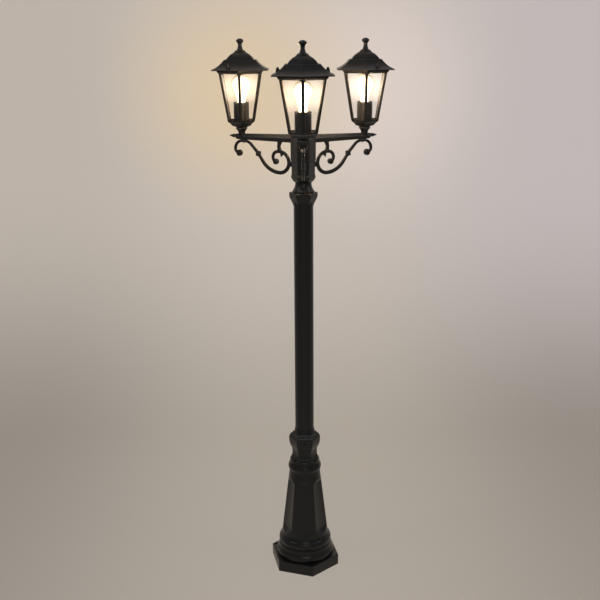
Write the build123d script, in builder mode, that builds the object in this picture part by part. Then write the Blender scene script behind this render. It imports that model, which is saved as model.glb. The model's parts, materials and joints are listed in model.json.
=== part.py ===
from build123d import *
import math
import os

os.makedirs("parts", exist_ok=True)

# Garden lamp post with three six-sided lanterns on scrolled arms.
# Millimetres, +Z up. The origin is the centre of the anchor holes on the ground.
# The front arm points along -Y; the other two are turned from it about the post.

# Clearances and cuts shared by every fit
fit_gap = 0.15
seat_gap = 0.3
overrun = 5

# Arms around the post, the angle turns the front arm to each place
arm_count = 3
arm_angles = {"front": 0, "right": 360 / arm_count, "left": -360 / arm_count}
arm_reach = 217.8

# Foot plate, a hollow six-sided casting turned a little from the arms
foot_corner_r = 117
foot_h = 35
foot_wall = 6
foot_web = 7
foot_turn = 12.2
foot_edge_r = 5
foot_top_chamfer = 1.5
cable_way_r = 45

# Anchor holes in every second corner of the foot
anchor_count = 3
anchor_pcd = 208
anchor_hole_r = 4.5
anchor_boss_r = 10

# Pedestal: moulded bell, fluted cone and bead ring
bell_bead_r = 94.3
bell_bead_h = 18
bell_top_r = 86.4
bell_h = 18
groove_depth = 1.3
groove_h = 4
plinth_foot_r = 83.2
plinth_top_r = 79.8
plinth_ring_h = 27
plinth_bow = 4.8
cone_foot_h = 17
cone_base_r = 74.8
cone_top_r = 50.4
cone_h = 212
bead_land_h = 10
bead_step = 0.8
bead_h = 18
bead_bow = 2.4
cove_mid_r = 47.6
cove_top_r = 44.8
cove_h = 19
pedestal_wall = 5
moulding_bow = 1.6
flute_count = 6
flute_turn = -3.5
flute_half_angle = 25.5
flute_depth_share = 0.13
flute_land_low = 1
flute_land_top = 20
flute_run_out = 14
pedestal_screw_pcd = 156
pedestal_boss_r = 8
pedestal_boss_h = 26

# Collar that stands in the pedestal and holds the tube, six-sided between two round rings
collar_spigot_r = 38
collar_spigot_h = 26
collar_base_r = 43.6
collar_base_h = 3
collar_neck_h = 36
collar_waist_h = 20
collar_foot_face = 37.8
collar_waist_face = 34.6
collar_waist_bow = -1
bulge_foot_face = 36.4
bulge_face = 43.4
bulge_low_h = 31
bulge_high_h = 19
bulge_top_face = 38.6
bulge_low_bow = 2.2
bulge_high_bow = 2.0
lip_r = 32.8
lip_end_r = 31.4
lip_h = 18
collar_ledge_h = 7
collar_ledge_r = 26

# Post tube
tube_r = 30
tube_wall = 2
tube_exposed = 733

# Crown ring at the top of the tube
crown_h = 41
crown_sleeve_r = 31.6
crown_foot_face = 26.6
crown_mid_face = 34.8
crown_rim_face = 37.3
crown_mid_h = 21
crown_rim_h = 10
crown_top_face = 35.8
crown_bevel = 2
crown_bow = 0.5
crown_grub_z = 31

# Head casting: spigot, neck and six-sided block
head_spigot_h = 38
neck_foot_r = 33.2
neck_foot_h = 4
neck_waist_r = 24.7
neck_waist_h = 26
neck_bow = -1.8
neck_h = 30
neck_bore_r = 18
block_foot_face = 22.6
block_bead_face = 31.9
block_low_face = 30.3
block_high_face = 32.7
block_bead_h = 17
block_bead_fall = 6
block_bead_bow = 1.9
block_fall_bow = 0.5
block_step_z = 62
block_step_h = 4
block_h = 141
block_wall = 6
block_floor_z = 16
block_floor = 5
bridge_w = 12
bridge_h = 4.5

# Head cap and its domed screw
cap_lip = 1.6
cap_skirt_h = 4
cap_slope_h = 6
cap_crown_face = 10
cap_screw_r = 3
cap_dome_r = 6.5
cap_dome_h = 8

# Grub screws, all alike
grub_r = 3
grub_length = 7
grub_socket_r = 1.6
grub_socket_depth = 3
grub_per_ring = 3

# Foot and bracket screws
foot_screw_r = 3
foot_screw_head_r = 5
foot_screw_head_h = 4
foot_screw_grip = 18
bracket_screw_r = 2
bracket_screw_head_r = 3.4
bracket_screw_head_h = 2.4
bracket_screw_grip = 3.2
lug_screw_grip = 12

# Arms: a hollow bar that thins outwards, with a spear point
bore_drop = 15
arm_bore_r = 5
arm_under = 10.2
arm_end_rise = 7.2
arm_nose_rise = 5.4
arm_flat_share = 0.42
arm_width_share = 0.98
arm_end_margin = 15.9
arm_nose = 8
arm_side_r = 1.8
pad_r = 11.5
pad_drop = 7
spear_neck_rise = 4.2
spear_mid_rise = 5.6
spear_tip_rise = 0.9
spear_neck_l = 6
spear_point_l = 15.5
spear_spigot = 9

# Scroll brackets: a stroke of arcs in the arm's plane, whose runs and radii are shares of the
# arm's span from the block to the lantern
scroll_depth = 9
arch_flat_share = 0.064
arch_w = 8.6
arch_share = 0.16
arch_turn = 45
upper_run_share = 0.149
knee_share = 0.32
knee_turn = 9
lower_run_share = 0.151
lower_w = 11.5
sweep_share = 0.395
loop_share = 0.171
loop_w = 10
coil_run_share = 0.032
coil_share = 0.096
coil_turn = 110
coil_end_share = 0.053
coil_end_turn = 70
coil_w = 10
volute_share = 0.133
volute_w = 8.8
volute_end_share = 0.067
volute_end_turn = 100
outer_button_r = 9.8
inner_button_r = 8.8
button_depth = 12
knot_half_w = 10
knot_half_h = 7
stem_w = 12
stem_bow = 2.6
stem_foot_w = 17
stem_foot_h = 3
thorn_w = 22
thorn_h = 17
lug_h = 18
lug_w = 12
lug_drop = 4
bracket_screw_inset = 5.8

# Lantern: cup, body casting and panes; sizes across are from axis to face
cup_h = 20
cup_foot_face = 10
cup_rim_face = 17.5
cup_top_face = 16
cup_foot_h = 3
cup_rim_h = 15.5
cup_bow = -1.2
body_h = 171
tray_h = 17
tray_foot_face = 16
tray_step_face = 28
tray_step_h = 5
tray_rim_face = 40.4
tray_bow = -1.2
tray_floor_h = 9
tray_floor_face = 26
tray_well_face = 36
cage_top_face = 63.4
band_h = 10.5
band_face = 68.5
band_rise = 5
sill_h = 5
cage_wall = 3.6
rib_w = 8.4
gusset = 4
ear_reach = 73
ear_w = 12
ear_h = 2.8
pane_thick = 2.5
pane_gap = 0.1
pane_corner_gap = 2.4
pane_head_gap = 2

# Lampholder, its sleeve and the lamp
nipple_r = 4.85
nipple_bore_r = 3
locknut_flat = 14
locknut_h = 3.5
nipple_arm_grip = 2.5
nipple_engage = 10
arm_nipple_engage = 17
nipple_inner_end = 20.5
holder_r = 19
holder_neck_r = 9
holder_neck_h = 7
holder_h = 56
socket_depth = 24
sleeve_r = 23
sleeve_wall = 1.2
sleeve_h = 66
lamp_cap_r = 13.2
lamp_cap_h = 25
lamp_cap_gap = 0.3
lamp_pip_r = 4.5
lamp_pip_h = 3
lamp_neck_r = 13.4
lamp_neck_h = 8
lamp_globe_r = 30
lamp_h = 84
lamp_shoulder_angle = 28
lamp_glass = 1

# Roof of the lantern and its finial
roof_rim_face = 85
roof_rim_drop = 1.5
roof_rim_h = 2.4
roof_tier_face = 48.6
roof_tier_z = 28
roof_tier_lip = 1.3
roof_dome_face = 41.6
roof_seat_face = 18
roof_h = 50
roof_skirt_bow = -3.2
roof_dome_bow = 2.3
roof_shell = 2.7
roof_land_face = 62
roof_land_wall = 6
roof_land_h = 11
roof_skirt_z = 6.4
roof_under_bow = -0.8
finial_h = 41
finial_foot_r = 19
finial_neck_r = 6
finial_neck_share = 0.46
finial_dome_share = 0.78
finial_shoulder_share = 0.93
finial_knob_r = 11
finial_stud_r = 4
finial_stud_h = 8
finial_boss_r = 8
finial_boss_h = 9

# Captive roof screws with domed heads
roof_screw_radius = 67.6
roof_screw_r = 2
roof_screw_head_r = 4.8
roof_screw_head_h = 4
roof_screw_dome_r = 3.6
roof_screw_dome_h = 4.8
roof_screw_boss_r = 5.6
roof_screw_boss_z = 12.6

# Wiring inside the post
lead_r = 1.6
lead_bend_r = 7
lead_circle_r = 6
riser_r = 3.5
riser_hole_r = 3.9
riser_bend_r = 40
riser_bend_z = 165
riser_drop_z = 112
connector_l = 30
connector_w = 16
connector_h = 16
terminal_l = 34
terminal_w = 16
terminal_h = 18
terminal_radius = 60

# Heights of the pieces above the ground, each from the one below
bell_part_h = bell_bead_h + bell_h + groove_h + plinth_ring_h + cone_foot_h
pedestal_h = bell_part_h + cone_h + bead_land_h + bead_h + cove_h
collar_h = collar_neck_h + bulge_low_h + bulge_high_h + lip_h
pedestal_z = foot_h
bell_z = pedestal_z + bell_bead_h
groove_z = bell_z + bell_h
plinth_z = groove_z + groove_h
cone_foot_z = plinth_z + plinth_ring_h
cone_z = cone_foot_z + cone_foot_h
land_z = cone_z + cone_h
bead_z = land_z + bead_land_h
cove_z = bead_z + bead_h
collar_z = pedestal_z + pedestal_h
bulge_z = collar_z + collar_neck_h
tube_z = collar_z + collar_ledge_h
collar_top_z = collar_z + collar_h
crown_z = collar_top_z + tube_exposed
neck_z = crown_z + crown_h
block_z = neck_z + neck_h
block_top_z = block_z + block_h
bore_z = block_top_z - bore_drop
arm_under_z = bore_z - arm_under
cup_z = block_top_z - pad_drop
body_z = cup_z + cup_h
tray_floor_z = body_z + tray_floor_h
sill_z = body_z + tray_h
window_z = sill_z + sill_h
body_top_z = body_z + body_h
band_z = body_top_z - band_h
roof_top_z = body_top_z + roof_h
holder_z = tray_floor_z + locknut_h + fit_gap
socket_z = holder_z + holder_h - socket_depth
lamp_z = socket_z + lamp_pip_h + lamp_cap_h
block_floor_top_z = block_z + block_floor_z
block_cavity_face = block_low_face - block_wall

# Turns, and which way a six-sided blank stands: a face to the front, or a corner
quarter_turn = 90
half_turn = 180
face_front = 30
corner_front = 0


def radial_plane(angle):
    """Upright plane through the post: x runs outwards at the angle, y runs up."""
    turn = math.radians(angle)
    outwards = (math.sin(turn), -math.cos(turn), 0)
    return Plane(
        origin=(0, 0, 0), x_dir=outwards, z_dir=(-math.cos(turn), -math.sin(turn), 0)
    )


def facing_plane(angle, radius, z):
    """Upright plane square to a line outwards at the angle, at a radius and height."""
    turn = math.radians(angle)
    outwards = Vector(math.sin(turn), -math.cos(turn), 0)
    sideways = (math.cos(turn), math.sin(turn), 0)
    return Plane(origin=outwards * radius + Vector(0, 0, z), x_dir=sideways, z_dir=outwards)


arm_plane = radial_plane(0)


def side_line(stations):
    """Outline through (radius, height, bow) stations; a bow swells the stretch before it."""
    for (r0, z0, _), (r1, z1, bow) in zip(stations, stations[1:]):
        if bow:
            run = math.hypot(r1 - r0, z1 - z0)
            middle = (
                (r0 + r1) / 2 + bow * (z1 - z0) / run,
                (z0 + z1) / 2 - bow * (r1 - r0) / run,
            )
            ThreePointArc((r0, z0), middle, (r1, z1))
        else:
            Line((r0, z0), (r1, z1))


def dome_bow(radius, rise):
    """Bow of an arc from the radius to the axis that ends level."""
    return math.hypot(radius, rise) / 2 * math.tan(math.atan2(rise, radius) / 2)


def half_outline(stations):
    """Closed half outline between the stations and the upright axis."""
    side_line(stations)
    first_r, first_z, _ = stations[0]
    last_r, last_z, _ = stations[-1]
    if last_r:
        Line((last_r, last_z), (0, last_z))
    Line((0, last_z), (0, first_z))
    if first_r:
        Line((0, first_z), (first_r, first_z))


def turned(stations):
    """Round blank turned about the upright axis."""
    with BuildPart() as blank:
        with BuildSketch(Plane.XZ):
            with BuildLine():
                half_outline(stations)
            make_face()
        revolve(axis=Axis.Z)
    return blank.part


def six_sided(stations, turn):
    """Six-sided blank whose faces follow the stations, turned about the upright axis."""
    reach = 2 * max(station[0] for station in stations)
    with BuildPart() as blank:
        for k in range(3):
            angle = math.radians(turn + 60 * k)
            across = (math.cos(angle), math.sin(angle), 0)
            along = (math.sin(angle), -math.cos(angle), 0)
            with BuildSketch(Plane(origin=(0, 0, 0), x_dir=across, z_dir=along)):
                with BuildLine():
                    half_outline(stations)
                make_face()
                mirror(about=Plane.YZ)
            extrude(amount=reach, both=True, mode=Mode.INTERSECT if k else Mode.ADD)
    return blank.part


def on_arm(piece):
    """A piece made about its own axis, moved to the lantern's place on the front arm."""
    return Pos(0, -arm_reach, 0) * piece


def save(piece, name):
    piece.label = name
    export_step(piece, f"parts/{name}.step")


def save_sides(piece, name):
    """Saves one copy of a front piece for each arm."""
    for side, angle in arm_angles.items():
        save(piece.rotate(Axis.Z, angle), f"{side}_{name}")


def save_group(pieces, name):
    """Saves several like pieces in one file, each a solid of its own."""
    solids = [solid for piece in pieces for solid in piece.solids()]
    save(Compound(children=solids), name)


def all_arms(pieces):
    """Copies of front pieces for every arm."""
    return [piece.rotate(Axis.Z, angle) for angle in arm_angles.values() for piece in pieces]


# Foot plate
foot_rotation = foot_turn - quarter_turn
screw_rotation = foot_rotation + half_turn / anchor_count
foot_cavity_r = foot_corner_r - foot_wall / math.cos(math.radians(30))
with BuildPart() as foot_plate:
    with BuildSketch():
        RegularPolygon(foot_corner_r, 6, rotation=foot_rotation)
    extrude(amount=foot_h)
    fillet(foot_plate.edges().filter_by(Axis.Z), foot_edge_r)
    chamfer(foot_plate.faces().sort_by(Axis.Z)[-1].edges(), foot_top_chamfer)
    with BuildSketch():
        RegularPolygon(foot_cavity_r, 6, rotation=foot_rotation)
        with PolarLocations(anchor_pcd / 2, anchor_count, start_angle=foot_rotation):
            Circle(anchor_boss_r, mode=Mode.SUBTRACT)
    extrude(amount=foot_h - foot_web, mode=Mode.SUBTRACT)
    with BuildSketch():
        Circle(cable_way_r)
        with PolarLocations(anchor_pcd / 2, anchor_count, start_angle=foot_rotation):
            Circle(anchor_hole_r)
        with PolarLocations(pedestal_screw_pcd / 2, anchor_count, start_angle=screw_rotation):
            Circle(foot_screw_r + fit_gap)
    extrude(amount=foot_h, mode=Mode.SUBTRACT)
save(foot_plate.part, "foot_plate")

# Pedestal
pedestal_blank = turned(
    [
        (bell_bead_r - moulding_bow, pedestal_z, 0),
        (bell_bead_r - moulding_bow, bell_z, moulding_bow),
        (bell_top_r, groove_z, -moulding_bow),
        (bell_top_r - groove_depth, groove_z, 0),
        (bell_top_r - groove_depth, plinth_z, 0),
        (plinth_foot_r, plinth_z, 0),
        (plinth_top_r, cone_foot_z, plinth_bow),
        (cone_base_r, cone_z, -groove_depth),
        (cone_top_r, land_z, 0),
        (cone_top_r, bead_z, 0),
        (cone_top_r + bead_step, bead_z, 0),
        (cone_top_r + bead_step, cove_z, bead_bow),
        (cone_top_r, cove_z, 0),
        (cove_mid_r, cove_z + cove_h / 2, 0),
        (cove_top_r, collar_z, moulding_bow),
    ]
)
flute_inner_share = 1 - flute_depth_share
bell_inner_r = bell_top_r - groove_depth - pedestal_wall
pedestal_hollow = turned(
    [
        (bell_bead_r - moulding_bow - pedestal_wall, pedestal_z, 0),
        (bell_inner_r, groove_z, 0),
        (plinth_foot_r - pedestal_wall, plinth_z, 0),
        (plinth_top_r - pedestal_wall, cone_foot_z, 0),
        (cone_base_r * flute_inner_share - pedestal_wall, cone_z, 0),
        (collar_spigot_r + fit_gap, bead_z, 0),
        (collar_spigot_r + fit_gap, collar_z, 0),
    ]
)


def cone_radius(z):
    return cone_base_r + (cone_top_r - cone_base_r) * (z - cone_z) / cone_h


flute_cos = math.cos(math.radians(flute_half_angle))
flute_centre_share = (1 - flute_inner_share**2) / (2 * (flute_cos - flute_inner_share))
flute_radius_share = flute_centre_share - flute_inner_share
flute_low_z = cone_z + flute_land_low
flute_top_z = land_z - flute_land_top
flute_sections = [
    (flute_low_z, flute_depth_share),
    (flute_low_z + flute_run_out, 0),
    (flute_top_z - flute_run_out, 0),
    (flute_top_z, flute_depth_share),
]
with BuildPart() as flute_cutter:
    for z, lift_share in flute_sections:
        with BuildSketch(Plane.XY.offset(z)):
            with Locations((0, -(flute_centre_share + lift_share) * cone_radius(z))):
                Circle(flute_radius_share * cone_radius(z))
    loft(ruled=True)
flutes = [
    flute_cutter.part.rotate(Axis.Z, flute_turn + 360 / flute_count * k)
    for k in range(flute_count)
]
grub_angles = [360 / grub_per_ring * k for k in range(grub_per_ring)]
pedestal_grub_z = cove_z + grub_r + bead_step
with BuildPart() as pedestal:
    add(pedestal_blank)
    add(flutes, mode=Mode.SUBTRACT)
    add(pedestal_hollow, mode=Mode.SUBTRACT)
    with BuildSketch(Plane.XY.offset(pedestal_z)):
        with PolarLocations(pedestal_screw_pcd / 2, anchor_count, start_angle=screw_rotation):
            Circle(pedestal_boss_r)
    extrude(amount=pedestal_boss_h)
    with BuildSketch(Plane.XY.offset(pedestal_z)):
        with PolarLocations(pedestal_screw_pcd / 2, anchor_count, start_angle=screw_rotation):
            Circle(foot_screw_r)
    extrude(amount=foot_screw_grip, mode=Mode.SUBTRACT)
    for angle in grub_angles:
        with BuildSketch(facing_plane(angle + half_turn, 0, pedestal_grub_z)):
            Circle(grub_r)
        extrude(amount=cone_base_r, mode=Mode.SUBTRACT)
save(pedestal.part, "pedestal")


# Screws up through the foot into the pedestal
foot_screw_z = foot_h - foot_web - foot_screw_head_h
with BuildPart() as foot_screws:
    with BuildSketch(Plane.XY.offset(foot_screw_z)):
        with PolarLocations(pedestal_screw_pcd / 2, anchor_count, start_angle=screw_rotation):
            RegularPolygon(foot_screw_head_r, 6)
    extrude(amount=foot_screw_head_h)
    with BuildSketch(Plane.XY.offset(foot_screw_z)):
        with PolarLocations(pedestal_screw_pcd / 2, anchor_count, start_angle=screw_rotation):
            Circle(foot_screw_r)
    extrude(amount=foot_screw_head_h + foot_web + foot_screw_grip)
save_group([foot_screws.part], "foot_screws")

# Collar between the pedestal and the tube
collar_rings = turned(
    [
        (collar_spigot_r, collar_z - collar_spigot_h, 0),
        (collar_spigot_r, collar_z, 0),
        (collar_base_r, collar_z, 0),
        (collar_base_r, collar_z + collar_base_h, 0),
        (lip_r, collar_z + collar_base_h, 0),
        (lip_r, collar_top_z - lip_h / 2, 0),
        (lip_end_r, collar_top_z, 0),
    ]
)
collar_body = six_sided(
    [
        (collar_foot_face, collar_z, 0),
        (collar_foot_face, collar_z + collar_base_h, 0),
        (collar_waist_face, collar_z + collar_waist_h, collar_waist_bow),
        (bulge_foot_face, bulge_z, collar_waist_bow / 2),
        (bulge_face, bulge_z + bulge_low_h, bulge_low_bow),
        (bulge_top_face, bulge_z + bulge_low_h + bulge_high_h, bulge_high_bow),
        (lip_r, bulge_z + bulge_low_h + bulge_high_h + lip_h / 3, -bulge_high_bow / 2),
    ],
    face_front,
)
collar_grub_z = bulge_z + bulge_low_h - grub_r
with BuildPart() as pedestal_collar:
    add(collar_rings)
    add(collar_body)
    with BuildSketch(Plane.XY.offset(tube_z)):
        Circle(tube_r + fit_gap)
    extrude(amount=collar_h, mode=Mode.SUBTRACT)
    with BuildSketch(Plane.XY.offset(collar_z - collar_spigot_h)):
        Circle(collar_ledge_r)
    extrude(amount=collar_h, mode=Mode.SUBTRACT)
    for angle in grub_angles:
        with BuildSketch(facing_plane(angle, 0, collar_grub_z)):
            Circle(grub_r)
        extrude(amount=cone_base_r, mode=Mode.SUBTRACT)
save(pedestal_collar.part, "pedestal_collar")

# Post tube, with holes for the grub screws of the crown
crown_screw_z = crown_z + crown_grub_z
with BuildPart() as post_tube:
    with BuildSketch(Plane.XY.offset(tube_z)):
        Circle(tube_r)
        Circle(tube_r - tube_wall, mode=Mode.SUBTRACT)
    extrude(amount=neck_z - tube_z)
    for angle in grub_angles:
        with BuildSketch(facing_plane(angle, 0, crown_screw_z)):
            Circle(grub_r + fit_gap)
        extrude(amount=tube_r + overrun, mode=Mode.SUBTRACT)
save(post_tube.part, "post_tube")

# Crown ring
crown_blank = six_sided(
    [
        (crown_foot_face, crown_z, 0),
        (crown_mid_face, crown_z + crown_mid_h, -crown_bow),
        (crown_rim_face, crown_z + crown_mid_h + crown_rim_h, crown_bow),
        (crown_rim_face, neck_z - crown_bevel, 0),
        (crown_top_face, neck_z, 0),
    ],
    face_front,
)
crown_sleeve = turned(
    [
        (tube_r + 2 * crown_bow, crown_z, 0),
        (crown_sleeve_r, crown_z + crown_bevel, 0),
        (crown_sleeve_r, neck_z, 0),
    ]
)
with BuildPart() as crown:
    add(crown_blank)
    add(crown_sleeve)
    with BuildSketch(Plane.XY.offset(crown_z)):
        Circle(tube_r + fit_gap)
    extrude(amount=crown_h, mode=Mode.SUBTRACT)
    for angle in grub_angles:
        with BuildSketch(facing_plane(angle, 0, crown_screw_z)):
            Circle(grub_r)
        extrude(amount=cone_base_r, mode=Mode.SUBTRACT)
save(crown.part, "crown")


def walk(start, heading, moves):
    """End of a chain of moves: (radius, turn) is an arc and (length, 0) a straight run."""
    x, y = start
    for size, turn in moves:
        before = math.radians(heading)
        after = math.radians(heading + turn)
        if turn:
            side = math.copysign(1, turn)
            x += side * size * (math.sin(after) - math.sin(before))
            y -= side * size * (math.cos(after) - math.cos(before))
        else:
            x += size * math.cos(before)
            y += size * math.sin(before)
        heading += turn
    return x, y


# Path of the scroll brackets in the arm's plane, from the arch under the arm both ways
span = arm_reach - block_low_face
arch_point = (arm_reach, arm_under_z - arch_w / 2)
fall = half_turn + arch_turn + knee_turn
volute_moves = [
    (volute_share * span, -quarter_turn),
    (volute_end_share * span, -volute_end_turn),
]
upper_moves = [
    (arch_flat_share * span, 0),
    (arch_share * span, arch_turn),
    (upper_run_share * span, 0),
    (knee_share * span, knee_turn),
]
loop_moves = [(loop_share * span, -quarter_turn)]
lower_moves = [
    (lower_run_share * span, 0),
    (sweep_share * span, half_turn - fall),
] + loop_moves
coil_moves = [
    (coil_run_share * span, 0),
    (coil_share * span, -coil_turn),
    (coil_end_share * span, -coil_end_turn),
]
outer_eye = walk(arch_point, 0, volute_moves)
knot_point = walk(arch_point, half_turn, upper_moves)
lug_point = walk(knot_point, fall, lower_moves)
loop_top = walk(lug_point, quarter_turn, loop_moves)
inner_eye = walk(loop_top, 0, coil_moves)
lug_z = lug_point[1] - lug_drop

# Head casting: spigot in the tube, round neck and six-sided block
spigot_r = tube_r - tube_wall - fit_gap
spigot_z = neck_z - head_spigot_h
neck_bore_h = block_floor_top_z - block_floor - spigot_z
head_neck = turned(
    [
        (spigot_r, spigot_z, 0),
        (spigot_r, neck_z, 0),
        (neck_foot_r, neck_z, 0),
        (neck_foot_r, neck_z + neck_foot_h, 0),
        (neck_waist_r, neck_z + neck_waist_h, neck_bow),
        (neck_waist_r, block_z, 0),
    ]
)
block_blank = six_sided(
    [
        (block_foot_face, block_z, 0),
        (block_bead_face, block_z + block_bead_h, block_bead_bow),
        (block_low_face, block_z + block_bead_h + block_bead_fall, block_fall_bow),
        (block_low_face, block_z + block_step_z, 0),
        (block_high_face, block_z + block_step_z + block_step_h, 0),
        (block_high_face, block_top_z, 0),
    ],
    face_front,
)
block_cavity = six_sided(
    [(block_cavity_face, block_floor_top_z, 0), (block_cavity_face, block_top_z, 0)],
    face_front,
)
with BuildPart() as head_block:
    add(head_neck)
    add(block_blank)
    add(block_cavity, mode=Mode.SUBTRACT)
    with BuildSketch(Plane.XY.offset(block_top_z - bridge_h)):
        Rectangle(2 * block_low_face, bridge_w)
    extrude(amount=bridge_h)
    with BuildSketch(Plane.XY.offset(block_top_z - bridge_h)):
        Circle(cap_screw_r)
    extrude(amount=bridge_h, mode=Mode.SUBTRACT)
    with BuildSketch(Plane.XY.offset(spigot_z)):
        Circle(neck_bore_r)
    extrude(amount=neck_bore_h, mode=Mode.SUBTRACT)
    with BuildSketch(Plane.XY.offset(block_floor_top_z - block_floor)):
        Circle(riser_hole_r)
    extrude(amount=block_floor, mode=Mode.SUBTRACT)
    for angle in arm_angles.values():
        with BuildSketch(facing_plane(angle, 0, bore_z)):
            Circle(arm_bore_r)
        extrude(amount=2 * block_high_face, mode=Mode.SUBTRACT)
        with BuildSketch(facing_plane(angle, 0, lug_z)):
            Circle(bracket_screw_r)
        extrude(amount=2 * block_high_face, mode=Mode.SUBTRACT)
save(head_block.part, "head_block")

# Head cap and its screw
cap_face = block_high_face + cap_lip
cap_top_z = block_top_z + cap_skirt_h + cap_slope_h
cap_blank = six_sided(
    [
        (cap_face, block_top_z, 0),
        (cap_face, block_top_z + cap_skirt_h, 0),
        (cap_crown_face, cap_top_z, cap_lip),
    ],
    face_front,
)
with BuildPart() as head_cap:
    add(cap_blank)
    with BuildSketch(Plane.XY.offset(block_top_z)):
        Circle(cap_screw_r + fit_gap)
    extrude(amount=cap_skirt_h + cap_slope_h, mode=Mode.SUBTRACT)
save(head_cap.part, "head_cap")

cap_screw = turned(
    [
        (cap_screw_r, block_top_z - bridge_h, 0),
        (cap_screw_r, cap_top_z, 0),
        (cap_dome_r, cap_top_z, 0),
        (cap_dome_r, cap_top_z + cap_dome_h / 2, 0),
        (0, cap_top_z + cap_dome_h, dome_bow(cap_dome_r, cap_dome_h / 2)),
    ]
)
save(cap_screw, "cap_screw")

# Grub screws: in the pedestal on the spigot, in the collar on the tube, in the crown on the spigot
grub_places = (
    [(angle + half_turn, collar_spigot_r, pedestal_grub_z) for angle in grub_angles]
    + [(angle, tube_r, collar_grub_z) for angle in grub_angles]
    + [(angle, spigot_r, crown_screw_z) for angle in grub_angles]
)
with BuildPart() as grub_screws:
    for angle, radius, z in grub_places:
        with BuildSketch(facing_plane(angle, radius, z)):
            Circle(grub_r)
        extrude(amount=grub_length)
        with BuildSketch(facing_plane(angle, radius + grub_length - grub_socket_depth, z)):
            RegularPolygon(grub_socket_r, 6)
        extrude(amount=grub_socket_depth, mode=Mode.SUBTRACT)
save_group([grub_screws.part], "grub_screws")


def bar_section(rise, under):
    """Six-sided cross-section of the arm, flat above and below."""
    height = rise + under
    half_width = arm_width_share * height / 2
    half_flat = arm_flat_share * half_width
    middle = (rise - under) / 2
    Polygon(
        (-half_width, middle),
        (-half_flat, -under),
        (half_flat, -under),
        (half_width, middle),
        (half_flat, rise),
        (-half_flat, rise),
        align=None,
    )


# Arm
bracket_screw_reach = arm_reach - bracket_screw_inset
arm_end_r = arm_reach + arm_end_margin
arm_nose_r = arm_end_r + arm_nose
with BuildPart() as arm:
    with BuildSketch(facing_plane(0, block_high_face, bore_z)):
        bar_section(bore_drop, arm_under)
    with BuildSketch(facing_plane(0, arm_end_r, bore_z)):
        bar_section(arm_end_rise, arm_under)
    with BuildSketch(facing_plane(0, arm_nose_r, bore_z)):
        bar_section(arm_nose_rise, arm_nose_rise)
    loft(ruled=True)
    long_edges = arm.edges().filter_by(lambda edge: edge.length > arm_reach / 2)
    fillet(long_edges, arm_side_r)
    with BuildSketch(Plane.XY.offset(bore_z)):
        with Locations((0, -arm_reach)):
            Circle(pad_r)
    extrude(amount=cup_z - bore_z)
    with BuildSketch(Plane.XY.offset(cup_z)):
        with Locations((0, -arm_reach)):
            Circle(pad_r)
    extrude(amount=pad_drop, mode=Mode.SUBTRACT)
    with BuildSketch(facing_plane(0, block_high_face, bore_z)):
        Circle(arm_bore_r)
    extrude(amount=arm_nose_r - block_high_face, mode=Mode.SUBTRACT)
    with BuildSketch(Plane.XY.offset(bore_z)):
        with Locations((0, -arm_reach)):
            Circle(arm_bore_r)
    extrude(amount=cup_z - bore_z, mode=Mode.SUBTRACT)
    with BuildSketch(Plane.XY.offset(arm_under_z)):
        with Locations((0, -bracket_screw_reach)):
            Circle(bracket_screw_r)
    extrude(amount=bracket_screw_grip, mode=Mode.SUBTRACT)
save_sides(arm.part, "arm")

# Spear point that plugs the arm
spear_mid_r = arm_nose_r + spear_neck_l
with BuildPart() as arm_spear:
    with BuildSketch(facing_plane(0, arm_nose_r, bore_z)):
        bar_section(spear_neck_rise, spear_neck_rise)
    with BuildSketch(facing_plane(0, spear_mid_r, bore_z)):
        bar_section(spear_mid_rise, spear_mid_rise)
    with BuildSketch(facing_plane(0, spear_mid_r + spear_point_l, bore_z)):
        bar_section(spear_tip_rise, spear_tip_rise)
    loft(ruled=True)
    with BuildSketch(facing_plane(0, arm_nose_r - spear_spigot, bore_z)):
        Circle(arm_bore_r - fit_gap)
    extrude(amount=spear_spigot)
save_sides(arm_spear.part, "arm_spear")

# Hollow nipples with locknuts that hold the arms to the block
with BuildPart() as arm_nipple:
    with BuildSketch(facing_plane(0, nipple_inner_end, bore_z)):
        Circle(nipple_r)
        Circle(nipple_bore_r, mode=Mode.SUBTRACT)
    extrude(amount=block_high_face + arm_nipple_engage - nipple_inner_end)
with BuildPart() as arm_locknut:
    with BuildSketch(facing_plane(0, block_cavity_face - locknut_h, bore_z)):
        RegularPolygon(locknut_flat / 2, 6, major_radius=False)
        Circle(nipple_r, mode=Mode.SUBTRACT)
    extrude(amount=locknut_h)
save_group(all_arms([arm_nipple.part, arm_locknut.part]), "arm_nipples")


def path_line(start, heading, moves):
    """Draws the chain of moves that walk() follows."""
    for size, turn in moves:
        angle = math.radians(heading)
        end = walk(start, heading, [(size, turn)])
        if turn:
            JernArc(start, (math.cos(angle), math.sin(angle)), size, turn)
        else:
            Line(start, end)
        start = end
        heading += turn


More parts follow.
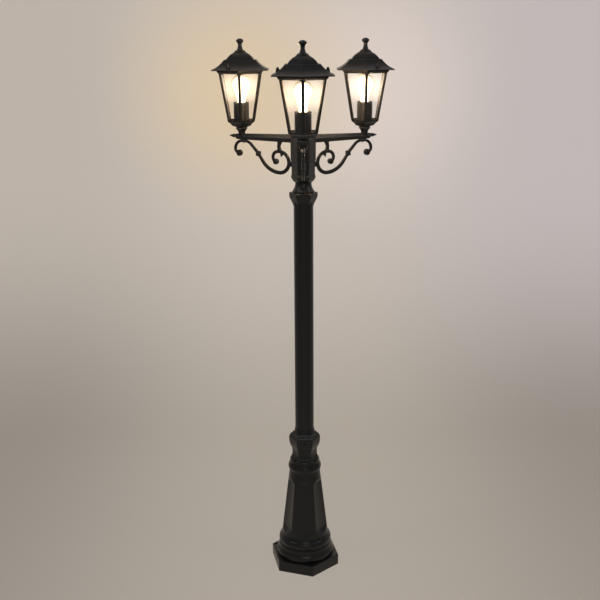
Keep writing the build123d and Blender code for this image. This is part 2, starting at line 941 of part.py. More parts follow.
# Scroll bracket
strokes = [
    (arch_point, 0, volute_moves, volute_w),
    (arch_point, half_turn, upper_moves, arch_w),
    (knot_point, fall, lower_moves, lower_w),
    (lug_point, quarter_turn, loop_moves, loop_w),
    (loop_top, 0, coil_moves, coil_w),
]
top_x, top_y = loop_top
with BuildPart() as bracket:
    with BuildSketch(arm_plane):
        for start, heading, moves, width in strokes:
            with BuildLine():
                path_line(start, heading, moves)
            trace(line_width=width)
        with BuildLine():
            stem_middle = (top_x + stem_bow, (top_y + arm_under_z) / 2)
            ThreePointArc(loop_top, stem_middle, (top_x, arm_under_z))
        trace(line_width=stem_w)
        Polygon(
            (top_x - stem_foot_w / 2, arm_under_z),
            (top_x - stem_w / 2, arm_under_z - stem_foot_h),
            (top_x + stem_w / 2, arm_under_z - stem_foot_h),
            (top_x + stem_foot_w / 2, arm_under_z),
            align=None,
        )
        Polygon(
            (top_x, top_y),
            (top_x - thorn_w, top_y - thorn_h / 2),
            (top_x - thorn_w / 2, top_y - 2 * thorn_h / 3),
            (top_x - thorn_w / 5, top_y - thorn_h),
            (top_x - thorn_w / 7, top_y - thorn_h / 2),
            align=None,
        )
        with Locations((top_x, arm_under_z)):
            Rectangle(arm_reach, stem_w, align=(Align.CENTER, Align.MIN), mode=Mode.SUBTRACT)
    extrude(amount=scroll_depth / 2, both=True)
    with BuildSketch(arm_plane):
        with Locations(outer_eye):
            Circle(outer_button_r)
        with Locations(inner_eye):
            Circle(inner_button_r)
        with Locations(Location((*knot_point, 0), fall)):
            Rectangle(knot_half_h * 2, knot_half_w * 2)
    extrude(amount=button_depth / 2, both=True)
    with BuildSketch(arm_plane):
        with Locations((block_low_face, lug_z)):
            lug_l = lug_point[0] + lower_w / 2 - block_low_face
            Rectangle(lug_l, lug_h, align=(Align.MIN, Align.CENTER))
    extrude(amount=lug_w / 2, both=True)
    with BuildSketch(Plane.XY.offset(arm_under_z - arch_w)):
        with Locations((0, -bracket_screw_reach)):
            Circle(bracket_screw_r)
    extrude(amount=arch_w, mode=Mode.SUBTRACT)
    with BuildSketch(facing_plane(0, block_low_face, lug_z)):
        Circle(bracket_screw_r)
    extrude(amount=lug_screw_grip, mode=Mode.SUBTRACT)
save_sides(bracket.part, "bracket")

# Bracket screws: one up into the arm, one out through the block into the lug
with BuildPart() as bracket_screw:
    with BuildSketch(Plane.XY.offset(arm_under_z - arch_w - bracket_screw_head_h)):
        with Locations((0, -bracket_screw_reach)):
            Circle(bracket_screw_head_r)
    extrude(amount=bracket_screw_head_h)
    with BuildSketch(Plane.XY.offset(arm_under_z - arch_w)):
        with Locations((0, -bracket_screw_reach)):
            Circle(bracket_screw_r)
    extrude(amount=arch_w + bracket_screw_grip)
lug_grip = block_low_face - block_cavity_face + lug_screw_grip
with BuildPart() as lug_screw:
    with BuildSketch(facing_plane(0, block_cavity_face - bracket_screw_head_h, lug_z)):
        Circle(bracket_screw_head_r)
    extrude(amount=bracket_screw_head_h)
    with BuildSketch(facing_plane(0, block_cavity_face, lug_z)):
        Circle(bracket_screw_r)
    extrude(amount=lug_grip)
save_group(all_arms([bracket_screw.part, lug_screw.part]), "bracket_screws")

# Cup between the arm and the lantern
cup_blank = six_sided(
    [
        (cup_foot_face, cup_z, 0),
        (cup_foot_face, cup_z + cup_foot_h, 0),
        (cup_rim_face, cup_z + cup_rim_h, cup_bow),
        (cup_top_face, body_z, 0),
    ],
    corner_front,
)
with BuildPart() as cup:
    add(cup_blank)
    with BuildSketch(Plane.XY.offset(cup_z)):
        Circle(nipple_r + fit_gap)
    extrude(amount=cup_h, mode=Mode.SUBTRACT)
save_sides(on_arm(cup.part), "lantern_cup")


def cage_face(z):
    """From the lantern's axis to the outside of the cage at a height."""
    return tray_rim_face + (cage_top_face - tray_rim_face) * (z - sill_z) / (band_z - sill_z)


def corner_bars(width, flare, low_z, high_z, reach):
    """Three bars through opposite corners of the lantern, flared at the top."""
    with BuildPart() as bars:
        for k in range(3):
            with BuildSketch(facing_plane(60 * k, 0, 0)):
                with Locations((0, low_z)):
                    Rectangle(width, high_z - low_z, align=(Align.CENTER, Align.MIN))
                if flare:
                    Polygon(
                        (-width / 2, high_z - flare),
                        (width / 2, high_z - flare),
                        (width / 2 + flare, high_z),
                        (-width / 2 - flare, high_z),
                        align=None,
                    )
            extrude(amount=reach, both=True)
    return bars.part


# Lantern body: tray, six ribs and top band in one casting
body_blank = six_sided(
    [
        (tray_foot_face, body_z, 0),
        (tray_step_face, body_z + tray_step_h, 0),
        (tray_rim_face, sill_z, tray_bow),
        (cage_top_face, band_z, 0),
        (band_face, band_z + band_rise, 0),
        (band_face, body_top_z, 0),
    ],
    corner_front,
)
body_hollow = six_sided(
    [
        (tray_floor_face, tray_floor_z, 0),
        (tray_well_face, sill_z, 0),
        (cage_face(sill_z) - cage_wall, sill_z, 0),
        (cage_face(body_top_z) - cage_wall, body_top_z, 0),
    ],
    corner_front,
)
window_block = six_sided([(roof_rim_face, window_z, 0), (roof_rim_face, band_z, 0)], corner_front)
rib_bars = corner_bars(rib_w, gusset, window_z, band_z, roof_rim_face * 2)
windows = window_block - rib_bars
with BuildPart() as lantern_body:
    add(body_blank)
    with BuildSketch(Plane.XY.offset(body_top_z - ear_h)):
        Rectangle(2 * ear_reach, ear_w)
    extrude(amount=ear_h)
    add(body_hollow, mode=Mode.SUBTRACT)
    add(windows, mode=Mode.SUBTRACT)
    with BuildSketch(Plane.XY.offset(body_z)):
        Circle(nipple_r + fit_gap)
    extrude(amount=tray_floor_h, mode=Mode.SUBTRACT)
    with BuildSketch(Plane.XY.offset(body_top_z - ear_h)):
        with Locations((roof_screw_radius, 0), (-roof_screw_radius, 0)):
            Circle(roof_screw_r + seat_gap)
    extrude(amount=ear_h, mode=Mode.SUBTRACT)
save_sides(on_arm(lantern_body.part), "lantern_body")

# Six glass panes behind the ribs, standing on the tray's rim
pane_top_z = body_top_z - pane_head_gap
pane_outer = six_sided(
    [
        (cage_face(sill_z) - cage_wall - pane_gap, sill_z, 0),
        (cage_face(pane_top_z) - cage_wall - pane_gap, pane_top_z, 0),
    ],
    corner_front,
)
pane_inner = six_sided(
    [
        (cage_face(sill_z) - cage_wall - pane_gap - pane_thick, sill_z, 0),
        (cage_face(pane_top_z) - cage_wall - pane_gap - pane_thick, pane_top_z, 0),
    ],
    corner_front,
)
pane_bars = corner_bars(pane_corner_gap, 0, sill_z, pane_top_z, roof_rim_face * 2)
panes = pane_outer - pane_inner - pane_bars
save_sides(on_arm(Compound(children=panes.solids())), "lantern_panes")

# Hollow nipple with its locknut, from the arm up into the lampholder
with BuildPart() as lamp_nipple:
    with BuildSketch(Plane.XY.offset(cup_z - nipple_arm_grip)):
        Circle(nipple_r)
        Circle(nipple_bore_r, mode=Mode.SUBTRACT)
    extrude(amount=holder_z + nipple_engage - cup_z + nipple_arm_grip)
with BuildPart() as lamp_locknut:
    with BuildSketch(Plane.XY.offset(tray_floor_z)):
        RegularPolygon(locknut_flat / 2, 6, major_radius=False)
        Circle(nipple_r, mode=Mode.SUBTRACT)
    extrude(amount=locknut_h)
save_group(all_arms([on_arm(lamp_nipple.part), on_arm(lamp_locknut.part)]), "lamp_nipples")

# Sleeve round the lampholder
with BuildPart() as sleeve:
    with BuildSketch(Plane.XY.offset(tray_floor_z)):
        Circle(sleeve_r)
        Circle(sleeve_r - sleeve_wall, mode=Mode.SUBTRACT)
    extrude(amount=sleeve_h)
save_sides(on_arm(sleeve.part), "lamp_sleeve")

# Lampholder
holder_blank = turned(
    [
        (holder_neck_r, holder_z, 0),
        (holder_neck_r, holder_z + holder_neck_h, 0),
        (holder_r, holder_z + holder_neck_h + holder_neck_h / 2, 0),
        (holder_r, holder_z + holder_h, 0),
    ]
)
with BuildPart() as lampholder:
    add(holder_blank)
    with BuildSketch(Plane.XY.offset(socket_z)):
        Circle(lamp_cap_r + lamp_cap_gap)
    extrude(amount=socket_depth, mode=Mode.SUBTRACT)
    with BuildSketch(Plane.XY.offset(holder_z)):
        Circle(nipple_r)
    extrude(amount=nipple_engage, mode=Mode.SUBTRACT)
    with BuildSketch(Plane.XY.offset(holder_z)):
        Circle(nipple_bore_r)
    extrude(amount=holder_h - socket_depth, mode=Mode.SUBTRACT)
save_sides(on_arm(lampholder.part), "lampholder")

# Lamp: screw cap with its contact, and the glass
lamp_cap = turned(
    [
        (lamp_pip_r, socket_z, 0),
        (lamp_pip_r, socket_z + lamp_pip_h, 0),
        (lamp_cap_r, socket_z + lamp_pip_h + lamp_pip_h, 0),
        (lamp_cap_r, lamp_z, 0),
    ]
)
save_sides(on_arm(lamp_cap), "lamp_cap")


def lamp_glass_line(inset):
    """Outline of the lamp's glass, a neck that swells into a ball, drawn in by an inset."""
    ball_r = lamp_globe_r - inset
    ball_z = lamp_z + lamp_h - lamp_globe_r
    shoulder = math.radians(lamp_shoulder_angle)
    shoulder_bow = ball_r * (1 - math.cos(shoulder / 2))
    quarter_bow = ball_r * (1 - math.cos(math.radians(45)))
    return [
        (lamp_neck_r - inset, lamp_z, 0),
        (lamp_neck_r - inset, lamp_z + lamp_neck_h, 0),
        (ball_r * math.cos(shoulder), ball_z - ball_r * math.sin(shoulder), 0),
        (ball_r, ball_z, shoulder_bow),
        (0, ball_z + ball_r, quarter_bow),
    ]


lamp_outer = turned(lamp_glass_line(0))
lamp_inner = turned(lamp_glass_line(lamp_glass))
with BuildPart() as lamp_bulb:
    add(lamp_outer)
    add(lamp_inner, mode=Mode.SUBTRACT)
save_sides(on_arm(lamp_bulb.part), "lamp_bulb")

# Roof: flared skirt, raised tier and dome, hollow underneath
rim_z = body_top_z - roof_rim_drop
tier_z = body_top_z + roof_tier_z
dome_z = tier_z + roof_tier_lip
skirt_z = body_top_z + roof_skirt_z
land_outer_face = roof_land_face + roof_land_wall
boss_foot_z = body_top_z + roof_rim_drop
boss_top_z = body_top_z + roof_screw_boss_z
roof_blank = six_sided(
    [
        (roof_rim_face, rim_z, 0),
        (roof_rim_face, rim_z + roof_rim_h, 0),
        (roof_tier_face, tier_z, roof_skirt_bow),
        (roof_tier_face - roof_tier_lip, dome_z, 0),
        (roof_dome_face, dome_z, 0),
        (roof_seat_face, roof_top_z, roof_dome_bow),
    ],
    corner_front,
)
skirt_hollow = six_sided(
    [
        (roof_rim_face - roof_rim_h, rim_z, 0),
        (land_outer_face, skirt_z, roof_under_bow),
    ],
    corner_front,
)
land_ring = six_sided(
    [(land_outer_face, body_top_z, 0), (land_outer_face, skirt_z, 0)], corner_front
)
roof_hollow = six_sided(
    [
        (roof_land_face, body_top_z, 0),
        (roof_land_face, body_top_z + roof_land_h, 0),
        (roof_tier_face - roof_shell, tier_z - roof_shell, -roof_shell / 2),
        (roof_dome_face - roof_shell, dome_z - roof_shell, 0),
        (roof_seat_face - roof_shell, roof_top_z - roof_shell, roof_dome_bow),
    ],
    corner_front,
)
skirt_channel = skirt_hollow - land_ring
with BuildPart() as roof:
    add(roof_blank)
    add(skirt_channel, mode=Mode.SUBTRACT)
    add(roof_hollow, mode=Mode.SUBTRACT)
    with BuildSketch(Plane.XY.offset(boss_foot_z)):
        with Locations((roof_screw_radius, 0), (-roof_screw_radius, 0)):
            Circle(roof_screw_boss_r)
    extrude(amount=boss_top_z - boss_foot_z)
    with BuildSketch(Plane.XY.offset(boss_top_z)):
        with Locations((roof_screw_radius, 0), (-roof_screw_radius, 0)):
            Circle(roof_screw_boss_r)
    extrude(amount=roof_screw_head_h, mode=Mode.SUBTRACT)
    with BuildSketch(Plane.XY.offset(roof_top_z)):
        Circle(finial_boss_r)
    extrude(amount=-finial_boss_h)
    with BuildSketch(Plane.XY.offset(rim_z)):
        with Locations((roof_screw_radius, 0), (-roof_screw_radius, 0)):
            Circle(roof_screw_r + fit_gap)
    extrude(amount=roof_tier_z, mode=Mode.SUBTRACT)
    with BuildSketch(Plane.XY.offset(roof_top_z)):
        Circle(finial_stud_r)
    extrude(amount=-finial_stud_h, mode=Mode.SUBTRACT)
save_sides(on_arm(roof.part), "lantern_roof")

# Finial screwed into the roof
finial_dome_h = finial_h * (1 - finial_shoulder_share)
finial_shares = [
    (1, 0, 0),
    (1, 0.03, 0),
    (0.84, 0.07, 0),
    (0.8, 0.14, 0),
    (0.42, 0.27, -0.08),
]
finial_knob_shares = [
    (0.6, 0.64, -0.02),
    (1, 0.78, 0),
    (1, 0.85, 0.06),
    (finial_dome_share, finial_shoulder_share, 0.04),
]
finial_line = (
    [(finial_stud_r, roof_top_z - finial_stud_h, 0), (finial_stud_r, roof_top_z, 0)]
    + [
        (finial_foot_r * wide, roof_top_z + finial_h * high, finial_foot_r * bow)
        for wide, high, bow in finial_shares
    ]
    + [(finial_neck_r, roof_top_z + finial_h * finial_neck_share, 0)]
    + [
        (finial_knob_r * wide, roof_top_z + finial_h * high, finial_knob_r * bow)
        for wide, high, bow in finial_knob_shares
    ]
    + [(0, roof_top_z + finial_h, dome_bow(finial_dome_share * finial_knob_r, finial_dome_h))]
)
finial = turned(finial_line)
save_sides(on_arm(finial), "finial")

# Captive screws that hold the roof down
head_top_z = boss_top_z + roof_screw_head_h
roof_screw = turned(
    [
        (roof_screw_r, body_top_z - ear_h, 0),
        (roof_screw_r, boss_top_z, 0),
        (roof_screw_head_r, boss_top_z, 0),
        (roof_screw_head_r, head_top_z, 0),
        (roof_screw_dome_r, head_top_z, 0),
        (0, head_top_z + roof_screw_dome_h, dome_bow(roof_screw_dome_r, roof_screw_dome_h)),
    ]
)
roof_screw_pair = [Pos(side * roof_screw_radius, -arm_reach, 0) * roof_screw for side in (1, -1)]
for side, angle in arm_angles.items():
    save_group([screw.rotate(Axis.Z, angle) for screw in roof_screw_pair], f"{side}_roof_screws")

# Connector block on the floor of the head
with BuildPart() as connector_block:
    with BuildSketch(Plane.XY.offset(block_floor_top_z)):
        Rectangle(connector_l, connector_w)
    extrude(amount=connector_h)
save(connector_block.part, "connector_block")

# Lamp leads: down the nipple, along the arm and down to the connector block
lead_top_z = socket_z
lead_points = [
    (arm_reach, lead_top_z),
    (arm_reach, bore_z),
    (lead_circle_r, bore_z),
    (lead_circle_r, block_floor_top_z + connector_h),
]
with BuildPart() as lamp_lead:
    with BuildLine(arm_plane) as lead_path:
        FilletPolyline(*lead_points, radius=lead_bend_r)
    with BuildSketch(Plane.XY.offset(lead_top_z)):
        with Locations((0, -arm_reach)):
            Circle(lead_r)
    sweep(path=lead_path.wires()[0])
save_group(all_arms([lamp_lead.part]), "lamp_leads")

# Terminal block on the foot's web and the riser cable down the tube to it
riser_plane = radial_plane(foot_turn)
with BuildPart() as terminal_block:
    with BuildSketch(Plane.XY.offset(foot_h)):
        with Locations(Location((0, 0, 0), foot_rotation)):
            with Locations((terminal_radius, 0)):
                Rectangle(terminal_w, terminal_l)
    extrude(amount=terminal_h)
save(terminal_block.part, "terminal_block")

riser_points = [
    (0, block_floor_top_z),
    (0, riser_bend_z),
    (terminal_radius, riser_drop_z),
    (terminal_radius, foot_h + terminal_h),
]
with BuildPart() as riser_cable:
    with BuildLine(riser_plane) as riser_path:
        FilletPolyline(*riser_points, radius=riser_bend_r)
    with BuildSketch(Plane.XY.offset(block_floor_top_z)):
        Circle(riser_r)
    sweep(path=riser_path.wires()[0])
save(riser_cable.part, "riser_cable")
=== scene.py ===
import json
import math

import bmesh
import bpy
from mathutils import Matrix, Vector


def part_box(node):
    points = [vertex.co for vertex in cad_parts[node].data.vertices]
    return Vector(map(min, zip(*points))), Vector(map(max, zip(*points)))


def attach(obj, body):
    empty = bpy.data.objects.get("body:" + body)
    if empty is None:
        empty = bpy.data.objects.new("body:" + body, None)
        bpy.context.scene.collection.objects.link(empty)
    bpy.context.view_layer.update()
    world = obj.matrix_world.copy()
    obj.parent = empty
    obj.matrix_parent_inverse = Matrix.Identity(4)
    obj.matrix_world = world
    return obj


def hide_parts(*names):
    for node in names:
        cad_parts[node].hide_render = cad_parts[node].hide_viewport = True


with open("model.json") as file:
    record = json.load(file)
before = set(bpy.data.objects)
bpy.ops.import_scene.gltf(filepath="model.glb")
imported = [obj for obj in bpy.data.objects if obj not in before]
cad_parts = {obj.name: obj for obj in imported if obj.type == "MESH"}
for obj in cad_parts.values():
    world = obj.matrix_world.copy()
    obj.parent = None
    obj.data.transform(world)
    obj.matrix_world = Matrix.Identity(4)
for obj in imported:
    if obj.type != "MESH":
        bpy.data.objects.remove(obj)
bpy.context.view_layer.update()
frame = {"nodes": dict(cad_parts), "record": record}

nodes = frame["nodes"]

MM = 0.001
SIDES = ("front", "right", "left")

# Turns of the arms round the post, in degrees
ARM_ANGLES = {"front": 0, "right": 120, "left": -120}

# Camera, solved from the photograph's frame of 600 by 600, in metres and radians
FOCAL_PX = 929.7
FRAME_PX = 600
SENSOR_MM = 36
CAMERA_BACK = 2.7833
CAMERA_HEIGHT = 1.7465
CAMERA_PITCH = 0.2901
CAMERA_YAW = 0.0044
CAMERA_ROLL = -0.0061

# Stage, in metres
BACKDROP_Y = 2.2
BACKDROP_BEND = 1.2
BEND_STEPS = 24
STAGE_WIDTH = 12
STAGE_FRONT = -6
STAGE_TOP = 6
STAGE_ROUGHNESS = 0.9
STAGE_GLOSS = 0.1

# Share of the sheet's colour that it shows by itself, whatever light falls on it
STAGE_SHINE = 0.8

# Colours low and high on the sheet, in its middle and at its sides: painted light and shade,
# lighter up the sheet's rise and darker low at its sides
STAGE_LOW = (0.47, 0.42, 0.36)
STAGE_HIGH = (0.67, 0.60, 0.54)
STAGE_LOW_SIDE = (0.32, 0.29, 0.255)
STAGE_LEFT = (0.58, 0.52, 0.46)
STAGE_RIGHT = (0.61, 0.56, 0.55)
RISE_FROM = 0.9
RISE_TO = 3.2
SIDE_FROM = 0.1
SIDE_TO = 1.3
TINT_REACH = 0.6

# Painted glow of the lanterns' light on the backdrop beside the lanterns
LEFT_PAINTED_GLOW = (0.83, 0.655, 0.44)
LEFT_PAINTED_GLOW_SHARE = 1
RIGHT_PAINTED_GLOW = (0.92, 0.79, 0.73)
RIGHT_PAINTED_GLOW_SHARE = 0.7
PAINTED_GLOW_X = 0.33
PAINTED_GLOW_Z = 1.4
PAINTED_GLOW_REACH = 0.85

# Softboxes: place, target, size in metres and power in watts
SOFTBOXES = {
    "left softbox": ((-2.2, -0.9, 2.6), (0, 0, 0.9), (0.7, 1.4), 8),
    "right softbox": ((2.3, -0.7, 2.6), (0, 0, 0.9), (0.7, 1.4), 8),
    "high softbox": ((-0.3, -0.9, 2.9), (0, 0, 1.3), (0.8, 0.8), 6),
    "front softbox": ((0.25, -3.4, 1.9), (0, 0, 0.6), (1.4, 0.5), 8),
}
WORLD_COLOUR = (0.97, 0.98, 1, 1)
WORLD_STRENGTH = 0.16

# Finishes: colour, roughness, size of the grain in metres and spread of the roughness
FINISHES = {
    "casting_paint": ((0.008, 0.008, 0.008), 0.36, 0.0012, 0.12),
    "tube_paint": ((0.009, 0.009, 0.009), 0.32, 0.0009, 0.08),
    "sleeve_black": ((0.009, 0.009, 0.009), 0.4, 0.0008, 0.1),
    "screw_black": ((0.012, 0.012, 0.012), 0.28, 0.0006, 0.08),
    "lamp_cap_metal": ((0.5, 0.48, 0.45), 0.3, 0.0006, 0.1),
    "holder_plastic": ((0.02, 0.02, 0.02), 0.5, 0.0006, 0.1),
    "screw_steel": ((0.5, 0.5, 0.5), 0.3, 0.0005, 0.1),
    "grub_steel": ((0.1, 0.1, 0.1), 0.3, 0.0005, 0.1),
    "nipple_steel": ((0.5, 0.5, 0.48), 0.3, 0.0005, 0.1),
    "terminal_plastic": ((0.6, 0.57, 0.5), 0.5, 0.0008, 0.1),
    "lead_plastic": ((0.4, 0.05, 0.03), 0.45, 0.0006, 0.1),
    "cable_plastic": ((0.02, 0.02, 0.02), 0.5, 0.0006, 0.1),
}
FINISH_GLOSS = 0.35
COAT = 0.1
COAT_ROUGHNESS = 0.2
GRAIN_DETAIL = 3
PEEL = 0.25
PEEL_PER_GRAIN = 1 / 6
EDGE_SOFTNESS = 0.0012
EDGE_SAMPLES = 4

# Panes, and a painted glow that the glass gives off near the lamps
PANE_COLOUR = (1, 1, 0.99, 1)
PANE_IOR = 1.2
PANE_PAINTED_GLOW = 0.2
PANE_PAINTED_GLOW_COLOUR = (1, 0.86, 0.66, 1)
PANE_PAINTED_GLOW_FROM = 0.04
PANE_PAINTED_GLOW_TO = 0.076

# Lit lamps, softer towards the edge of the glass
LAMP_COLOUR = (1, 0.85, 0.55, 1)
LAMP_ROUGHNESS = 0.3
LAMP_GLOW_COLOUR = (1, 0.86, 0.62, 1)
LAMP_GLOW = 4
LAMP_EDGE_GLOW = 0.15
LAMP_CORE = 0.05
LAMP_EDGE = 0.6
LAMP_BLEND = 0.5
LAMP_WATTS = 3.5
LAMP_LIGHT = (1, 0.66, 0.38)
LAMP_LIGHT_R = 0.02

# Scroll bracket, in millimetres and degrees in the arm's upright plane. Its strokes are arcs
# (radius, turn) and runs (length, 0), as shares of the arm's span from the head block to the
# lantern. They start under the lantern, outwards or inwards along the arm.
OUTWARDS = 0
INWARDS = 180
ARCH_W = 8.6
SCROLL_DEPTH = 9
VOLUTE_SHARES = [(0.133, -90), (0.067, -100)]
UPPER_SHARES = [(0.064, 0), (0.16, 45), (0.149, 0), (0.32, 9)]
LOWER_SHARES = [(0.151, 0), (0.395, -54), (0.171, -90)]
COIL_SHARES = [(0.171, -90), (0.032, 0), (0.096, -110), (0.053, -70)]

# Widths and depths at shares of the way along a stroke
VOLUTE_WIDTHS = [(0, ARCH_W), (0.5, 9.2), (1, 7.4)]
UPPER_WIDTHS = [(0, ARCH_W), (0.4, ARCH_W), (0.8, 9.4), (1, 10)]
LOWER_WIDTHS = [(0, 9.4), (0.3, 11), (0.6, 12), (0.85, 11.6), (1, 10.6)]
COIL_WIDTHS = [(0, 10.6), (0.3, 10), (0.5, 10.4), (0.8, 9.6), (1, 7.6)]
DEPTHS = [(0, SCROLL_DEPTH), (1, SCROLL_DEPTH)]
END_DEPTHS = [(0, SCROLL_DEPTH), (0.6, SCROLL_DEPTH), (1, 8)]

# Buttons that end the strokes: radius and half depth, from the flat to the rim
OUTER_BUTTON = [(4, 6.6), (5.5, 5.5), (6.2, 4.5), (7, 4.5), (7.9, 5.5), (9.2, 5.4), (9.9, 4.2)]
INNER_BUTTON_SHARE = 0.9

# Knot across the end of the upper stroke, and a knob at each side, round through these angles
KNOT_STEPS = (-7, -6.1, -4.5, -1.7, 0, 1.7, 4.5, 6.1, 7)
KNOT_WIDTHS = [(0, 10), (0.12, 13), (0.3, 14.4), (0.5, 15.6), (0.7, 14.4), (0.88, 13), (1, 10)]
KNOT_DEPTHS = [(0, SCROLL_DEPTH), (0.5, 12), (1, SCROLL_DEPTH)]
KNOB_R = 3.6
KNOB_OUT = 7.8
KNOB_ANGLES = (1.5, 1.2, 0.9, 0.6, 0.3, 0.05)

# Stem up to the arm, leaf inside the loop and lug against the head block
STEM_WIDTHS = [(0, 17), (0.2, 12.6), (0.5, 11), (0.8, 12.4), (1, 17.5)]
STEM_SWAY = 2.6
LEAF_WIDTHS = [(0, 22), (0.25, 17), (0.5, 10.5), (0.8, 4.6), (1, 1.4)]
LEAF_DEPTHS = [(0, SCROLL_DEPTH), (0.5, 8), (1, 2)]
LEAF_L = 17
LEAF_BASE = 11
LEAF_TIP = 4
LEAF_LEAN = 0.5
LUG_WIDTHS = [(0, 18), (0.5, 16.5), (1, 15)]
LUG_DEPTHS = [(0, 12), (0.6, 11), (1, 9)]
LUG_DROP = 65.1
LUG_OVERLAP = 2

# Fineness of the bracket's mesh, the power of its rounded sections and its cast skin
STROKE_STEP = 1.2
FEWEST_STEPS = 2
STROKE_SIDES = 16
STROKE_POWER = 2.8
LUG_POWER = 4
BUTTON_SIDES = 32
KNOB_SIDES = 20
STEM_STEPS = 24
LEAF_STEPS = 16
LUG_STEPS = 8
CAST_VOXEL = 0.0008
CAST_EASE = 0.5
CAST_EASE_STEPS = 4


def lamp_centre(side):
    """Middle of a lamp's ball, in metres."""
    low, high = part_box(f"{side}_lamp_bulb")
    radius = (high.x - low.x) / 2
    return (low.x + radius, (low.y + high.y) / 2, high.z - radius)


# Places that the bracket takes from the frame, in millimetres
HEAD_FACE = -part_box("front_bracket")[1].y / MM
ARM_UNDER_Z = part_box("front_arm")[0].z / MM
ARM_REACH = -lamp_centre("front")[1] / MM
SPAN = ARM_REACH - HEAD_FACE


def add_object(name, data):
    """New object in the scene."""
    item = bpy.data.objects.new(name, data)
    bpy.context.scene.collection.objects.link(item)
    return item


# Camera and light


def add_camera():
    data = bpy.data.cameras.new("camera")
    data.sensor_width = SENSOR_MM
    data.lens = FOCAL_PX / FRAME_PX * SENSOR_MM
    camera = add_object("camera", data)
    turn = Matrix.Rotation(CAMERA_YAW, 4, "Z")
    tilt = Matrix.Rotation(math.pi / 2 - CAMERA_PITCH, 4, "X")
    roll = Matrix.Rotation(CAMERA_ROLL, 4, "Z")
    place = Matrix.Translation((0, -CAMERA_BACK, CAMERA_HEIGHT))
    camera.matrix_world = place @ turn @ tilt @ roll
    bpy.context.scene.camera = camera


def add_softbox(name, place, target, size, power):
    data = bpy.data.lights.new(name, "AREA")
    data.shape = "RECTANGLE"
    data.size, data.size_y = size
    data.energy = power
    softbox = add_object(name, data)
    aim = Vector(target) - Vector(place)
    softbox.rotation_euler = aim.to_track_quat("-Z", "Y").to_euler()
    softbox.location = place


def add_lamp_light(side):
    """Warm light from the middle of a lamp, which passes the lamp's own glass."""
    nodes[f"{side}_lamp_bulb"].visible_shadow = False
    data = bpy.data.lights.new(f"{side} lamp light", "POINT")
    data.energy = LAMP_WATTS
    data.color = LAMP_LIGHT
    data.shadow_soft_size = LAMP_LIGHT_R
    light = add_object(f"{side} lamp light", data)
    light.location = lamp_centre(side)


def add_world_light():
    world = bpy.data.worlds.new("studio")
    world.use_nodes = True
    background = world.node_tree.nodes["Background"]
    background.inputs["Color"].default_value = WORLD_COLOUR
    background.inputs["Strength"].default_value = WORLD_STRENGTH
    bpy.context.scene.world = world


# Shader helpers


def new_material(name):
    material = bpy.data.materials.new(name)
    material.use_nodes = True
    tree = material.node_tree
    return material, tree, tree.nodes["Principled BSDF"]


def link(tree, source, target):
    tree.links.new(source, target)


def surface_place(tree):
    """Place on the object, in metres."""
    return tree.nodes.new("ShaderNodeTexCoord").outputs["Object"]


def distance_node(tree, place, point):
    """Distance of a place from a fixed point."""
    gap = tree.nodes.new("ShaderNodeVectorMath")
    gap.operation = "DISTANCE"
    gap.inputs[1].default_value = point
    link(tree, place, gap.inputs[0])
    return gap.outputs["Value"]


def math_node(tree, operation, first, second):
    """Result of one operation on two sockets or numbers."""
    node = tree.nodes.new("ShaderNodeMath")
    node.operation = operation
    for socket, value in zip(node.inputs, (first, second)):
        if isinstance(value, (int, float)):
            socket.default_value = value
        else:
            link(tree, value, socket)
    return node.outputs["Value"]


def fade_node(tree, value, start, end, first, last):
    """Eased change from the first number at the start to the last number at the end."""
    fade = tree.nodes.new("ShaderNodeMapRange")
    fade.interpolation_type = "SMOOTHSTEP"
    fade.inputs["From Min"].default_value = start
    fade.inputs["From Max"].default_value = end
    fade.inputs["To Min"].default_value = first
    fade.inputs["To Max"].default_value = last
    link(tree, value, fade.inputs["Value"])
    return fade.outputs["Result"]


def blend_node(tree, share, first, second):
    """Colour between two colours, or colour sockets, at a share."""
    mix = tree.nodes.new("ShaderNodeMix")
    mix.data_type = "RGBA"
    for socket, value in zip((mix.inputs["A"], mix.inputs["B"]), (first, second)):
        if isinstance(value, tuple):
            socket.default_value = (*value, 1)
        else:
            link(tree, value, socket)
    link(tree, share, mix.inputs["Factor"])
    return mix.outputs["Result"]


def mix_shaders(tree, share, first, second):
    """Shader between two shaders at a share."""
    mix = tree.nodes.new("ShaderNodeMixShader")
    link(tree, share, mix.inputs["Fac"])
    link(tree, first, mix.inputs[1])
    link(tree, second, mix.inputs[2])
    return mix.outputs["Shader"]


def clear_shader(tree):
    return tree.nodes.new("ShaderNodeBsdfTransparent").outputs["BSDF"]


def set_surface(tree, shader):
    link(tree, shader, tree.nodes["Material Output"].inputs["Surface"])


# Stage


def painted_backdrop_glow(tree, place, x, strength):
    """Strength of the painted glow of lantern light round a place on the backdrop."""
    away = distance_node(tree, place, (x, BACKDROP_Y, PAINTED_GLOW_Z))
    return fade_node(tree, away, 0, PAINTED_GLOW_REACH, strength, 0)


